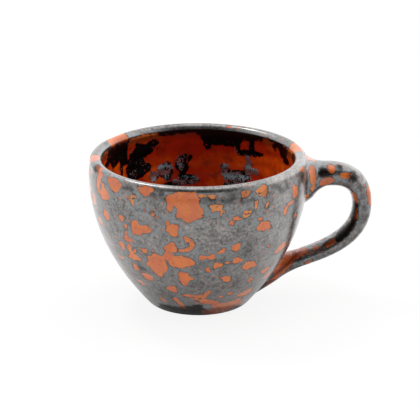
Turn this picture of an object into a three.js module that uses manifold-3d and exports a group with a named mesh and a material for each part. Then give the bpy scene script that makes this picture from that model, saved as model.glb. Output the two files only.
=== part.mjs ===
// A wheel-thrown stoneware latte cup with one pulled strap handle.
// Millimetres. The origin is the middle of the foot on the table, +Z is up and the handle points to +X.
// The cup is made as a potter makes it: a thrown body, a pulled strap, and a layer of slip at each of the
// two places where the strap was pressed onto the leather-hard wall.
import * as THREE from "three";
import { mergeVertices } from "three/addons/utils/BufferGeometryUtils.js";
import Module from "manifold-3d";

const wasm = await Module();
wasm.setup();

// Driving dimensions of the thrown body.
const CUP_HEIGHT = 70.3;
const BELLY_RADIUS = 50;
const BELLY_DROP = 8.4; // how far the widest level lies below the top of the lip
const BELLY_PULL = 24.7; // how long the wall stays nearly upright below the widest level
const RIM_TUCK = 0.5; // how far the rim draws in from the widest radius
const RIM_PULL = 2.3; // how softly the wall turns in above the widest level
const LIP_HEIGHT = 2.6; // height of the rounded lip
const WALL = 5.6; // wall thickness from the lip to the widest level
const HEEL_WALL = 6.2; // wall thickness low down, where thrown walls are left heavier
const FLOOR = 6.5; // thickness in the middle of the floor
const FLOOR_PULL = 15; // how wide the floor stays nearly level
const HEEL_PULL = 8; // how long the inside wall keeps its slope before it turns into the floor
const FOOT_RADIUS = 22.6; // the flat that stands on the table
const FOOT_ROUND = 2.3; // sponged edge round the flat
const FOOT_ANGLE = 49.3; // degrees between the table and the wall leaving the foot
const FOOT_PULL = 22.1; // how long the wall keeps that slope

// Driving dimensions of the pulled strap.
const UPPER_ROOT_DROP = 11.9; // middle of the upper root below the top of the lip
const UPPER_RISE = 15.5; // degrees at which the strap climbs away from the wall
const UPPER_PULL = 16.2; // how long it keeps that slope
const HANDLE_REACH = 25.6; // outermost middle of the strap past the widest radius
const OUTERMOST_DROP = 25.3; // height of that point below the top of the lip
const OUTERMOST_PULL_UP = 13.5; // how long the strap stays nearly upright above that point
const OUTERMOST_PULL_DOWN = 21.5; // and below it
const LOWER_ROOT_HEIGHT = 13.8; // middle of the lower root above the table
const LOWER_RISE = 26; // degrees at which the strap leaves the lower root
const LOWER_PULL = 15; // how long it keeps that slope
const STRAP_THICKNESS_UPPER = 11.7; // before the swelling at the root
const STRAP_THICKNESS_OUTERMOST = 8.2;
const STRAP_THICKNESS_LOWER = 6.8;
const STRAP_WIDTH_UPPER = 13.9;
const STRAP_WIDTH_LOWER = 12.5;
const UPPER_FLARE_ABOVE = 4; // how much the upper root swells upwards where it meets the wall
const UPPER_FLARE_BELOW = 3.6;
const UPPER_FLARE_SIDE = 3;
const UPPER_FLARE_RUN = 10; // over what length of strap
const LOWER_FLARE_ABOVE = 3.3;
const LOWER_FLARE_BELOW = 2.5;
const LOWER_FLARE_SIDE = 2.4;
const LOWER_FLARE_RUN = 14.5;
const ROOT_BITE = 13; // how far the strap runs straight on into the wall before it is trimmed

// Driving dimensions of the two joints.
const SLIP = 0.8; // thickness of the slip layer
const SLIP_PROUD = 0.7; // how far squeezed-out slip stands past the strap
const SEAT_GAP = 0.3; // clearance on each side of the slip

// How finely curves are stepped, as counts, and how square the strap's oval is.
const AROUND = 64;
const FOOT_STEPS = 3;
const SIDE_STEPS = 14;
const RIM_STEPS = 3;
const LIP_STEPS = 8;
const FLOOR_STEPS = 7;
const STRAP_RINGS = 44;
const STRAP_SIDES = 20;
const STRAP_SQUARENESS = 2.4; // exponent of the section: 2 is an ellipse, more is boxier
const HEEL_SHARE = 0.28; // share of the wall's curve, from the foot, that the floor takes the place of
const OUTERMOST_SHARE = 0.5; // share of the strap's length between its roots at which it has its outermost thickness
const MERGE = 1e-4; // vertices closer than this are one

// Levels and radii that follow from the driving dimensions.
const bellyLevel = CUP_HEIGHT - BELLY_DROP;
const lipLevel = CUP_HEIGHT - LIP_HEIGHT;
const rimRadius = BELLY_RADIUS - RIM_TUCK;
const footAngle = THREE.MathUtils.degToRad(FOOT_ANGLE);

const clay = new THREE.MeshStandardMaterial({ color: 0x6d6c6e, roughness: 0.38, metalness: 0.55 });
const strapClay = new THREE.MeshStandardMaterial({ color: 0x77706c, roughness: 0.36, metalness: 0.5 });
const slipClay = new THREE.MeshStandardMaterial({ color: 0x8c4a2c, roughness: 0.6, metalness: 0 });

// A closed geometry as a solid for cutting, and back.
function solidOf(geometry) {
  const bare = new THREE.BufferGeometry();
  bare.setAttribute("position", geometry.getAttribute("position"));
  bare.setIndex(geometry.index);
  const merged = mergeVertices(bare, MERGE);
  const vertProperties = merged.getAttribute("position").array;
  const triVerts = new Uint32Array(merged.index.array);
  return new wasm.Manifold(new wasm.Mesh({ numProp: 3, vertProperties, triVerts }));
}

function geometryOf(solid) {
  const mesh = solid.getMesh();
  const geometry = new THREE.BufferGeometry();
  geometry.setAttribute("position", new THREE.BufferAttribute(mesh.vertProperties, 3));
  geometry.setIndex(new THREE.BufferAttribute(mesh.triVerts, 1));
  geometry.computeVertexNormals();
  return geometry;
}

function named(name, geometry, material) {
  const mesh = new THREE.Mesh(geometry, material);
  mesh.name = name;
  return mesh;
}

// The thrown wall: a curve from the foot's sponged edge out to the widest level, in radius and height.
function sideCurve() {
  const start = new THREE.Vector2(
    FOOT_RADIUS + FOOT_ROUND * Math.sin(footAngle),
    FOOT_ROUND * (1 - Math.cos(footAngle)),
  );
  const slope = new THREE.Vector2(Math.cos(footAngle), Math.sin(footAngle));
  return new THREE.CubicBezierCurve(
    start,
    start.clone().addScaledVector(slope, FOOT_PULL),
    new THREE.Vector2(BELLY_RADIUS, bellyLevel - BELLY_PULL),
    new THREE.Vector2(BELLY_RADIUS, bellyLevel),
  );
}

// The short stretch that draws in from the widest level to the lip.
function rimCurve() {
  return new THREE.CubicBezierCurve(
    new THREE.Vector2(BELLY_RADIUS, bellyLevel),
    new THREE.Vector2(BELLY_RADIUS, bellyLevel + RIM_PULL),
    new THREE.Vector2(rimRadius, lipLevel - RIM_PULL),
    new THREE.Vector2(rimRadius, lipLevel),
  );
}

// A point of a profile curve moved out along the curve's normal, or in where the distance is negative.
function offsetPoint(curve, t, distance) {
  const along = curve.getTangent(t);
  const outward = new THREE.Vector2(along.y, -along.x);
  return curve.getPoint(t).addScaledVector(outward, distance);
}

// The outside of the body from the axis under the foot up to the lip, moved out by a distance.
function outsideProfile(distance) {
  const foot = new THREE.EllipseCurve(
    FOOT_RADIUS,
    FOOT_ROUND,
    FOOT_ROUND + distance,
    FOOT_ROUND + distance,
    -Math.PI / 2,
    footAngle - Math.PI / 2,
  );
  const side = sideCurve();
  const rim = rimCurve();
  const points = [new THREE.Vector2(0, -distance), ...foot.getPoints(FOOT_STEPS)];
  for (let i = 1; i <= SIDE_STEPS; i++) points.push(offsetPoint(side, i / SIDE_STEPS, distance));
  for (let i = 1; i <= RIM_STEPS; i++) points.push(offsetPoint(rim, i / RIM_STEPS, distance));
  return points;
}

// The inside, from the lip down: the wall follows the outside and thickens towards the heel, then one
// curve carries it into the floor and level through the axis.
function insideProfile() {
  const side = sideCurve();
  const rim = rimCurve();
  const points = [];
  for (let i = RIM_STEPS - 1; i > 0; i--) points.push(offsetPoint(rim, i / RIM_STEPS, -WALL));
  const wallAt = (t) => THREE.MathUtils.lerp(HEEL_WALL, WALL, t);
  const steps = Math.round(SIDE_STEPS * (1 - HEEL_SHARE));
  for (let i = 0; i < steps; i++) {
    const t = 1 - (i / steps) * (1 - HEEL_SHARE);
    points.push(offsetPoint(side, t, -wallAt(t)));
  }
  const heel = offsetPoint(side, HEEL_SHARE, -wallAt(HEEL_SHARE));
  const floorCurve = new THREE.CubicBezierCurve(
    heel,
    heel.clone().addScaledVector(side.getTangent(HEEL_SHARE), -HEEL_PULL),
    new THREE.Vector2(FLOOR_PULL, FLOOR),
    new THREE.Vector2(0, FLOOR),
  );
  return [...points, ...floorCurve.getPoints(FLOOR_STEPS)];
}

// A profile of radius and height turned round the Z axis.
function turned(points) {
  return new THREE.LatheGeometry(points, AROUND).rotateX(Math.PI / 2);
}

function cupBody() {
  const lip = new THREE.EllipseCurve(rimRadius - WALL / 2, lipLevel, WALL / 2, LIP_HEIGHT, 0, Math.PI);
  const lipPoints = lip.getPoints(LIP_STEPS).slice(1);
  return turned([...outsideProfile(0), ...lipPoints, ...insideProfile()]);
}

// The body filled to its rim and swollen by a distance: the tool that trims what is pressed onto the wall.
function swollenBody(distance) {
  const crest = new THREE.EllipseCurve(
    rimRadius - WALL / 2,
    lipLevel,
    WALL / 2 + distance,
    LIP_HEIGHT + distance,
    0,
    Math.PI / 2,
  );
  const top = new THREE.Vector2(0, CUP_HEIGHT + distance);
  const lipPoints = crest.getPoints(LIP_STEPS / 2).slice(1);
  return solidOf(turned([...outsideProfile(distance), ...lipPoints, top]));
}

// The outer radius of the body at a height.
function radiusAt(height) {
  const points = outsideProfile(0);
  const above = points.findIndex((p) => p.y > height);
  const low = points[above - 1];
  const high = points[above];
  return THREE.MathUtils.mapLinear(height, low.y, high.y, low.x, high.x);
}

// The middle line of the strap in the plane y = 0: straight out of the upper wall, round the outermost
// point in two curves, and straight on into the lower wall.
function strapLine() {
  const upperLevel = CUP_HEIGHT - UPPER_ROOT_DROP;
  const upper = new THREE.Vector2(radiusAt(upperLevel), upperLevel);
  const lower = new THREE.Vector2(radiusAt(LOWER_ROOT_HEIGHT), LOWER_ROOT_HEIGHT);
  const outermost = new THREE.Vector2(BELLY_RADIUS + HANDLE_REACH, CUP_HEIGHT - OUTERMOST_DROP);
  const above = new THREE.Vector2(outermost.x, outermost.y + OUTERMOST_PULL_UP);
  const below = new THREE.Vector2(outermost.x, outermost.y - OUTERMOST_PULL_DOWN);
  const fromRoot = (root, degrees, distance) => {
    const angle = THREE.MathUtils.degToRad(degrees);
    return new THREE.Vector2(Math.cos(angle), Math.sin(angle)).multiplyScalar(distance).add(root);
  };
  const upperEnd = fromRoot(upper, UPPER_RISE, -ROOT_BITE);
  const lowerEnd = fromRoot(lower, LOWER_RISE, -ROOT_BITE);
  const line = new THREE.CurvePath();
  line.add(new THREE.LineCurve(upperEnd, upper));
  line.add(new THREE.CubicBezierCurve(upper, fromRoot(upper, UPPER_RISE, UPPER_PULL), above, outermost));
  line.add(new THREE.CubicBezierCurve(outermost, below, fromRoot(lower, LOWER_RISE, LOWER_PULL), lower));
  line.add(new THREE.LineCurve(lower, lowerEnd));
  return line;
}

// How far the strap reaches from its middle line at a distance from its upper end: towards the fingers, away
// from them and to either side. The swelling at a root grows with the square of the nearness to the wall.
function strapSection(distance, length, grow) {
  const { lerp, clamp } = THREE.MathUtils;
  const fromUpper = distance - ROOT_BITE;
  const fromLower = length - distance - ROOT_BITE;
  const share = clamp(fromUpper / (fromUpper + fromLower), 0, 1);
  const towards = share / OUTERMOST_SHARE;
  const past = (share - OUTERMOST_SHARE) / (1 - OUTERMOST_SHARE);
  const thickness =
    share < OUTERMOST_SHARE
      ? lerp(STRAP_THICKNESS_UPPER, STRAP_THICKNESS_OUTERMOST, towards)
      : lerp(STRAP_THICKNESS_OUTERMOST, STRAP_THICKNESS_LOWER, past);
  const half = thickness / 2;
  const upper = clamp(1 - fromUpper / UPPER_FLARE_RUN, 0, 1) ** 2;
  const lower = clamp(1 - fromLower / LOWER_FLARE_RUN, 0, 1) ** 2;
  return {
    inner: half + UPPER_FLARE_BELOW * upper + LOWER_FLARE_ABOVE * lower + grow,
    outer: half + UPPER_FLARE_ABOVE * upper + LOWER_FLARE_BELOW * lower + grow,
    aside:
      lerp(STRAP_WIDTH_UPPER, STRAP_WIDTH_LOWER, share) / 2 +
      UPPER_FLARE_SIDE * upper +
      LOWER_FLARE_SIDE * lower +
      grow,
  };
}

// The strap as a loft: one oval ring square to the middle line at each step, with a flat cap at each end.
function strapSolid(grow) {
  const line = strapLine();
  const length = line.getLength();
  const corner = (value) => Math.sign(value) * Math.abs(value) ** (2 / STRAP_SQUARENESS);
  const positions = [];
  for (let ring = 0; ring <= STRAP_RINGS; ring++) {
    const share = ring / STRAP_RINGS;
    const middle = line.getPoint(share);
    const along = line.getTangent(share);
    const section = strapSection(share * length, length, grow);
    for (let side = 0; side < STRAP_SIDES; side++) {
      const turn = (2 * Math.PI * side) / STRAP_SIDES;
      const inward = corner(Math.cos(turn));
      const across = inward * (inward > 0 ? section.inner : section.outer);
      const aside = section.aside * corner(Math.sin(turn));
      positions.push(middle.x + across * along.y, aside, middle.y - across * along.x);
    }
  }
  const index = [];
  for (let ring = 0; ring < STRAP_RINGS; ring++) {
    for (let side = 0; side < STRAP_SIDES; side++) {
      const next = (side + 1) % STRAP_SIDES;
      const near = ring * STRAP_SIDES;
      const far = near + STRAP_SIDES;
      index.push(near + side, near + next, far + side);
      index.push(near + next, far + next, far + side);
    }
  }
  const last = STRAP_RINGS * STRAP_SIDES;
  for (let side = 1; side < STRAP_SIDES - 1; side++) {
    index.push(0, side + 1, side);
    index.push(last, last + side, last + side + 1);
  }
  const geometry = new THREE.BufferGeometry();
  geometry.setAttribute("position", new THREE.Float32BufferAttribute(positions, 3));
  geometry.setIndex(index);
  return solidOf(geometry);
}

// The strap, trimmed to the wall with room for the slip.
function handle() {
  return geometryOf(strapSolid(0).subtract(swollenBody(SLIP + 2 * SEAT_GAP)));
}

// The slip: the layer between strap and wall, standing a little past the strap all round. The upper and
// the lower joint are the two bodies of that layer.
function slipSeams() {
  const layer = strapSolid(SLIP_PROUD)
    .intersect(swollenBody(SLIP + SEAT_GAP))
    .subtract(swollenBody(SEAT_GAP));
  const heightOf = (solid) => solid.boundingBox().max[2];
  const [upper, lower] = layer.decompose().sort((a, b) => heightOf(b) - heightOf(a));
  return { upper: geometryOf(upper), lower: geometryOf(lower) };
}

const cup = new THREE.Group();
const seams = slipSeams();
cup.add(named("cup_body", cupBody(), clay));
cup.add(named("handle", handle(), strapClay));
cup.add(named("upper_slip_seam", seams.upper, slipClay));
cup.add(named("lower_slip_seam", seams.lower, slipClay));

export default cup;
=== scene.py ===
# %% [markdown]
# # A wheel-thrown latte cup
# The cup is stoneware: a thrown bowl, a strap handle that was pulled from a lump of clay, and two joins
# where the strap was pressed onto the wall with slip. A gunmetal glaze covers all of it and breaks open in
# windows that show the rust-red clay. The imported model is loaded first. It fixes every size and place, and
# the cells below give it the soft curves, the glaze and the light of the real cup.

import bpy
import numpy as np
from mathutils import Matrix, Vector


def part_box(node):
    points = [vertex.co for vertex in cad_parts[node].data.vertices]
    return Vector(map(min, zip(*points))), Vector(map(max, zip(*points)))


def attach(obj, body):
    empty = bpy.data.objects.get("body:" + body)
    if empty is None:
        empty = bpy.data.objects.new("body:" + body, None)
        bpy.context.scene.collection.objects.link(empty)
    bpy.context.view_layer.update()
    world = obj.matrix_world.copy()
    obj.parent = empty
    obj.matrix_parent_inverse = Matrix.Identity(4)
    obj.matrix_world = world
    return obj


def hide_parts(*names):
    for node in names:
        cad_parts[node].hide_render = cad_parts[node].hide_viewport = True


MM = 0.001  # lengths below are in millimetres, and Blender works in metres

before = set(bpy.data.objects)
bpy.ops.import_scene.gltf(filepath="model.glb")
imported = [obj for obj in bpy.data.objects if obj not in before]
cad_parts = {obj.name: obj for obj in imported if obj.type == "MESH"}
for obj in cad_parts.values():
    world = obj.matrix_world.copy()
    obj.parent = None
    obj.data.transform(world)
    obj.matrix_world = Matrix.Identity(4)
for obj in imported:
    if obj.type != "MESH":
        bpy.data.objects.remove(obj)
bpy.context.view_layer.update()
cup_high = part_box("cup_body")[1]
cup_height = cup_high.z / MM
belly_radius = cup_high.y / MM
print(f"cup {cup_height:.1f} mm high, {2 * belly_radius:.1f} mm wide, nodes {sorted(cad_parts)}")

# %% [markdown]
# ## The camera
# The picture was taken from a little above, with a long lens, and the handle points almost straight to the
# right. A camera can be set by eye, but a viewing angle and a distance are easier to check: the camera stands
# on a sphere round the cup and looks back at it, with a small turn that puts the cup left of the middle.

# %% Place the camera
IMAGE_WIDTH = 420  # pixels
FOCAL_LENGTH = 1728  # pixels
SENSOR_WIDTH = 36  # width of a usual sensor
CAMERA_DISTANCE = 800
CAMERA_RISE = 20.26  # degrees above the table
HANDLE_TURN = 2.0  # degrees by which the handle points away from the picture's right
FRONT = -90 - HANDLE_TURN  # azimuth of the side that shows, in degrees from the handle
AIM_HEIGHT = 35
AIM_RIGHT = 0.41  # degrees
AIM_UP = 0.53  # degrees


def facing(azimuth, rise):
    """A unit direction from two angles in degrees: the rise's cosine spread over x and y, its sine up."""
    turn, lift = np.radians([azimuth, rise])
    return np.cos(lift) * np.cos(turn), np.cos(lift) * np.sin(turn), np.sin(lift)


def photo_camera():
    """A point at a distance, a rise and an azimuth from the cup's middle, turned back towards it."""
    lens = bpy.data.cameras.new("photo_camera")
    lens.sensor_width = SENSOR_WIDTH
    lens.lens = FOCAL_LENGTH / IMAGE_WIDTH * SENSOR_WIDTH
    camera = bpy.data.objects.new("photo_camera", lens)
    back = CAMERA_DISTANCE * np.array(facing(FRONT, CAMERA_RISE))
    camera.location = (np.array([0, 0, AIM_HEIGHT]) + back) * MM
    tilt = np.radians(90 - CAMERA_RISE + AIM_UP)
    camera.rotation_euler = (tilt, 0, -np.radians(HANDLE_TURN + AIM_RIGHT))
    bpy.context.collection.objects.link(camera)
    return camera


bpy.context.scene.camera = photo_camera()
bpy.context.scene.view_settings.view_transform = "Standard"
print("camera at", [round(value, 3) for value in bpy.context.scene.camera.location])

# %% [markdown]
# ## Helpers for nodes and meshes
# Every finish below is a small tree of nodes. One helper adds a node and fills its sockets, so that a finish
# reads as a list of steps. Another turns whole arrays of points and faces into a mesh, and turns the faces
# round if the closed surface came out with its inside facing out.


# %% Add a node
def add(tree, kind, options=None, sockets=None):
    """A node with its options set and its sockets filled from plain values or from other nodes' sockets."""
    made = tree.nodes.new(kind)
    for option, value in (options or {}).items():
        setattr(made, option, value)
    for socket, value in (sockets or {}).items():
        if isinstance(value, bpy.types.NodeSocket):
            tree.links.new(value, made.inputs[socket])
        else:
            made.inputs[socket].default_value = value
    return made


# %% Make a mesh from arrays
def enclosed_volume(points, faces):
    """A sixth of the sum of each triangle's corners multiplied as a box: positive where faces look out."""
    corners = [points[column] for column in faces.T]
    first = corners[0]
    fans = zip(corners[1:-1], corners[2:])
    return sum(np.einsum("ij,ij->", first, np.cross(second, third)) for second, third in fans) / 6


def piece(name, points, face_groups, fields, material, node):
    """A smooth closed mesh in metres, with one number per point for each field, in place of a CAD node."""
    volume = sum(enclosed_volume(points, faces) for faces in face_groups)
    faces = []
    for group in face_groups:
        faces += (group if volume > 0 else group[:, ::-1]).tolist()
    mesh = bpy.data.meshes.new(name)
    mesh.from_pydata((points * MM).tolist(), [], faces)
    mesh.polygons.foreach_set("use_smooth", np.ones(len(faces), bool))
    for field_name, values in fields.items():
        layer = mesh.attributes.new(field_name, "FLOAT", "POINT")
        layer.data.foreach_set("value", np.asarray(values, np.float32).ravel())
    mesh.materials.append(material)
    made = bpy.data.objects.new(name, mesh)
    bpy.context.collection.objects.link(made)
    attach(made, "root")
    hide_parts(node)
    triangles = sum(len(face) - 2 for face in faces)
    print(f"{name}: {triangles} triangles, {abs(volume) / 1000:.1f} cm3")


def grid_faces(rows, columns, close_rows=False):
    """Quads between neighbouring rows of a grid that runs round in its columns, and in its rows if asked."""
    steps = rows if close_rows else rows - 1
    row, column = np.meshgrid(np.arange(steps), np.arange(columns), indexing="ij")
    below = (row + 1) % rows
    beside = (column + 1) % columns
    corners = [
        row * columns + column,
        row * columns + beside,
        below * columns + beside,
        below * columns + column,
    ]
    return np.stack(corners, axis=-1).reshape(-1, 4)


def cap_faces(rows, columns):
    """Triangles from the first row to a tip stored after the grid, and from the last row to a second tip."""
    column = np.arange(columns)
    beside = (column + 1) % columns
    first_tip = np.full(columns, rows * columns)
    last = (rows - 1) * columns
    start = np.column_stack([first_tip, beside, column])
    end = np.column_stack([first_tip + 1, last + column, last + beside])
    return np.vstack([start, end])


# %% [markdown]
# ## The wall's profile
# A thrown pot is a profile turned round an axis. The profile starts in the middle of the underside, runs out
# to the sponged edge of the foot, up the belly, over a rounded lip and down inside to the floor. A curve
# with a Screw modifier would turn it too, but here the later cells also ask it how far along the wall a
# height lies. Arcs and cubic curves with a potter's sizes are enough: how wide, how steep, how thick.

# %% Choose the potter's sizes
# A drop is measured down from the top of the lip. A pull is how far a curve keeps to its end's direction.
BELLY_DROP = 8.4  # to the widest level
BELLY_PULL = 24.7
RIM_TUCK = 0.5  # how far the rim is drawn in
RIM_PULL = 2.3
LIP_HEIGHT = 2.6
WALL = 5.6  # thickness at the rim
HEEL_WALL = 6.2  # and near the foot
HEEL_SHARE = 0.28  # share of the wall's curve whose inside is taken by the floor
FLOOR = 6.5  # level of the floor inside
FLOOR_PULL = 15
HEEL_PULL = 8
FOOT_RADIUS = 22.6  # of the flat
FOOT_ROUND = 2.3
FOOT_ANGLE = np.radians(49.3)  # how steeply the wall leaves the foot
FOOT_PULL = 22.1
UNDER_ROWS = 14  # points on each stretch of the profile
FOOT_ROWS = 8
SIDE_ROWS = 78
RIM_ROWS = 8
LIP_ROWS = 18
FLOOR_ROWS = 20

belly_level = cup_height - BELLY_DROP
lip_level = cup_height - LIP_HEIGHT
rim_radius = belly_radius - RIM_TUCK
print(f"widest at {belly_level:.1f} mm, lip from {lip_level:.1f} mm")


# %% Draw the profile
def bezier(points, count):
    """The four points weighted by (1-t)^3, 3t(1-t)^2, 3t^2(1-t) and t^3, with t from 0 to 1."""
    a, b, c, d = np.asarray(points, float)
    t = np.linspace(np.zeros_like(a), 1, count)
    return a * (1 - t) ** 3 + 3 * b * t * (1 - t) ** 2 + 3 * c * t**2 * (1 - t) + d * t**3


def unit(steps):
    """Vectors divided by their lengths."""
    return steps / np.linalg.norm(steps, axis=-1, keepdims=True)


def directions(line):
    """Unit steps along a line of points."""
    return unit(np.gradient(line, axis=0))


def distances(line):
    """Length of a line from its first point to each of its points: the sum of the steps so far."""
    return np.concatenate([[0], np.cumsum(np.linalg.norm(np.diff(line, axis=0), axis=1))])


def inset(line, thickness):
    """The line moved towards the axis, square to itself, by a thickness."""
    along = directions(line)
    inward = np.column_stack([-along[:, 1], along[:, 0]])
    return line + inward * np.reshape(thickness, (-1, 1))


def wall_profile():
    """Radius and height of the whole section, from the axis under the foot to the axis on the floor."""
    turn = np.linspace(0, FOOT_ANGLE, FOOT_ROWS)
    under = np.column_stack([np.linspace(0, FOOT_RADIUS, UNDER_ROWS), np.zeros(UNDER_ROWS)])
    foot = np.column_stack([FOOT_RADIUS + FOOT_ROUND * np.sin(turn), FOOT_ROUND * (1 - np.cos(turn))])
    slope = np.array([np.cos(FOOT_ANGLE), np.sin(FOOT_ANGLE)])
    belly = [(belly_radius, belly_level - BELLY_PULL), (belly_radius, belly_level)]
    side = bezier([foot[-1], foot[-1] + FOOT_PULL * slope, *belly], SIDE_ROWS)
    shoulder = [(belly_radius, belly_level), (belly_radius, belly_level + RIM_PULL)]
    rim = bezier([*shoulder, (rim_radius, lip_level - RIM_PULL), (rim_radius, lip_level)], RIM_ROWS)
    over = np.linspace(0, np.pi, LIP_ROWS)
    lip_middle = rim_radius - WALL / 2
    lip = np.column_stack([lip_middle + WALL / 2 * np.cos(over), lip_level + LIP_HEIGHT * np.sin(over)])
    share = np.linspace(0, 1, SIDE_ROWS)
    kept = share >= HEEL_SHARE
    inner_side = inset(side, HEEL_WALL + (WALL - HEEL_WALL) * share)[kept][::-1]
    heel = inner_side[-1]
    heel_slope = directions(inner_side)[-1]
    floor = bezier([heel, heel + HEEL_PULL * heel_slope, (FLOOR_PULL, FLOOR), (0, FLOOR)], FLOOR_ROWS)
    stretches = [under, foot, side, rim, lip, inset(rim, WALL)[::-1], inner_side, floor]
    return np.vstack([under[:1], *[stretch[1:] for stretch in stretches]])


profile = wall_profile()
profile_arc = distances(profile)
crest = int(np.argmax(profile[:, 1]))  # row on top of the lip
outside_rows = np.arange(UNDER_ROWS - 1, crest + 1)
inside_rows = np.arange(crest, len(profile))
print(f"profile of {len(profile)} rows, {profile_arc[-1]:.0f} mm long, {profile_arc[crest]:.0f} mm outside")


# %% Ask the profile
def arc_at(height, rows):
    """Arc length at a height, on the stretch of the profile that the rows name, outside or inside."""
    order = rows[np.argsort(profile[rows, 1])]
    return np.interp(height, profile[order, 1], profile_arc[order])


def radius_at(height):
    """Outer radius of the wall at a height."""
    return np.interp(height, profile[outside_rows, 1], profile[outside_rows, 0])


print(f"outer radius at half height {radius_at(cup_height / 2):.1f} mm")

# %% [markdown]
# ## Where the glaze breaks open
# This glaze ran and crawled in the kiln, so every window has its own place. A noise texture would give the
# right feel and the wrong cup. Instead each window is an oval on the wall, read off: how far round, how
# high, how big, how tilted. The depth of a point inside the nearest oval, in millimetres, is stored on
# the mesh, and the material draws edge, outline and halo from that one number.

# %% List the windows on the outside
# Each oval: degrees to the right of the front, height, half width, half height, tilt in degrees.
RIM_WINDOWS = [
    (-4.5, 61.5, 5.2, 7, 0), (-10, 65, 5.4, 3.4, 0), (-14, 63, 1.6, 3.4, 0), (0.8, 60.3, 1.4, 1.5, 0),
    (-3.5, 65.6, 3.5, 2.6, 0), (-48, 66.8, 4.3, 2.8, -12), (-27.5, 67.6, 3.6, 2, 10),
    (-56.5, 60.6, 4, 3, 0), (-63, 64.5, 1.9, 4.6, 0), (-61.5, 68, 2.4, 1.3, 0), (-76, 66, 1.8, 1.8, 0),
    (60, 60.2, 2.6, 2.8, 0), (58, 62.8, 1, 2, 0), (55.5, 56.3, 2.6, 0.8, 8), (-71, 54, 3, 3.4, 0),
    (71, 68, 3.2, 1, -10), (-58, 64, 1, 1.2, 0), (-80, 58, 3, 4, 0),
]
OCHRE_WINDOWS = [
    (2.5, 67.2, 2.1, 0.9, -10), (7, 66.3, 1.5, 1, 0), (8.6, 61.5, 2.9, 1.8, -8),
    (11.8, 59.3, 0.8, 1.2, 0), (24.8, 66.2, 2.5, 1.6, 25), (34.3, 66.3, 2.7, 2.5, 0),
    (30.2, 61, 0.9, 1.7, 0), (25.3, 57, 2.3, 1.7, 15), (37.2, 59, 0.9, 1.4, -20),
    (-35, 62.3, 1.4, 2.8, 0), (-54, 29.5, 2, 1.2, 0), (-31.5, 8.8, 1.6, 1.4, 0),
]
BELLY_WINDOWS = [
    (19.3, 55.6, 2, 0.8, -10), (16.8, 53.8, 0.9, 1.4, 30), (33, 53.5, 1.3, 0.6, 0),
    (36.5, 49.3, 4.2, 2.3, -8), (-56, 50.5, 2.6, 2.6, 35), (-43, 52.3, 1.9, 1.3, 0),
    (-33.5, 49, 3.4, 3.6, 0), (-28.5, 49.3, 3.6, 2, 15), (-13, 50.7, 2.5, 3.2, 0),
    (-15.8, 54, 0.9, 1.5, 0), (-23, 57, 2.8, 0.6, -22), (-28, 58.5, 0.9, 0.7, 0), (-41, 48.5, 1, 1.2, 0),
    (-41.5, 45.5, 1, 0.8, 0), (-41, 42.2, 2.8, 1.5, -10), (-67, 44.5, 3, 1.6, 0), (-31, 38.2, 1.3, 1, 0),
    (-47.5, 37.5, 1.5, 2, 20), (-40, 33, 3.2, 2, 0), (51.5, 53.5, 1.3, 1.9, -25),
    (-24.5, 31, 4.6, 5.2, 0), (-23, 35.5, 3.3, 2, 0), (-29.5, 31, 1.8, 1.6, 0), (42.5, 38, 1.3, 0.6, -30),
    (-11, 34.7, 5.8, 3.4, 0), (-4.5, 34.8, 2, 2, 0), (-14.8, 41.8, 3, 2.3, 0), (-16.5, 38, 1.8, 2.5, 0),
    (-8, 40.9, 2.2, 0.8, 0), (-4.3, 42, 1.6, 1, 25), (-3.2, 44.2, 1.1, 1.8, 0),
    (-5.5, 46.5, 2.2, 1.1, -35), (2.3, 37.2, 1.6, 1, 0), (7.3, 37.3, 1.6, 1.1, 0),
    (12.5, 39.8, 2, 0.8, 20), (20.5, 41.5, 2.2, 1.7, 20), (11, 32.5, 2, 1.3, 0), (5.7, 30.2, 0.8, 1.4, 0),
    (17, 33.5, 1.2, 0.5, 0), (22.2, 34, 2.1, 1.6, -10), (31.5, 30, 3.5, 2.1, 0), (-41, 38.5, 1.2, 1.4, 0),
    (-41.5, 36.3, 2.4, 0.9, -35), (-38, 36.5, 1, 1.2, 0), (56, 33.8, 4.6, 2.2, 10),
    (63.5, 48, 1.6, 1.4, 0),
]
HEEL_WINDOWS = [
    (-9, 25, 2.3, 4.1, 0), (-5, 25.3, 1.2, 1, 0), (17.8, 24, 2.9, 1.5, -38), (-18.5, 17.8, 2.1, 2.3, 0),
    (-35, 23, 3.2, 2, 0), (-42, 27, 1.8, 1.6, 0), (-46, 17.5, 2.8, 1.3, -10), (-3, 14.2, 5.1, 0.9, -4),
    (4.5, 14.4, 1.5, 0.8, 0), (6.5, 15.8, 1.3, 2, -20), (10, 9.5, 4.5, 1.1, -8), (22, 6.5, 6, 2, 0),
    (21, 2.5, 6, 2, 0), (33, 5.5, 6, 3, 0), (40, 12, 4.5, 1.8, 8), (12, 2.6, 4.5, 1.8, 0),
    (17.5, 12.8, 1.2, 0.7, 0), (24, 14, 1.5, 0.8, 0), (-18.5, 11, 1.3, 1.3, 0),
    (-16.2, 8.6, 3.6, 0.9, -62), (-14.5, 5.5, 1.2, 1.2, 0), (2, 11.6, 6, 0.5, -12),
    (48.5, 23.5, 2.8, 1.6, 0), (37.5, 20.5, 1.6, 1, 0), (57, 18.5, 2.5, 2, 0),
]
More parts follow.
